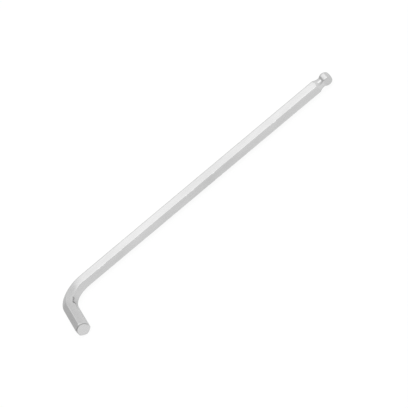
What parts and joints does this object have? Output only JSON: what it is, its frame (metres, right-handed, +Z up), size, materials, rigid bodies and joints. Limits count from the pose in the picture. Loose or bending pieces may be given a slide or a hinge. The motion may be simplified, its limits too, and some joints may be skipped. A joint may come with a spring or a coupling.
{
  "type": "hex key",
  "caption": "Long-arm L-shaped hexagonal wrench for 8 mm hexagon sockets, with a ball end on the long arm and a flat chamfered end on the short arm.",
  "frame": {"origin": "on the surface that the key lies on, at the middle of its bounding box", "axes": "+X along the long arm towards the ball end, -Y along the short arm towards its flat end, +Z up from the surface"},
  "size_m": [0.208, 0.044, 0.0091],
  "materials": {
    "satin_steel": "satin chrome plating over hardened steel"
  },
  "bodies": {
    "root": {"hex_key": "satin_steel"}
  },
  "joints": []
}
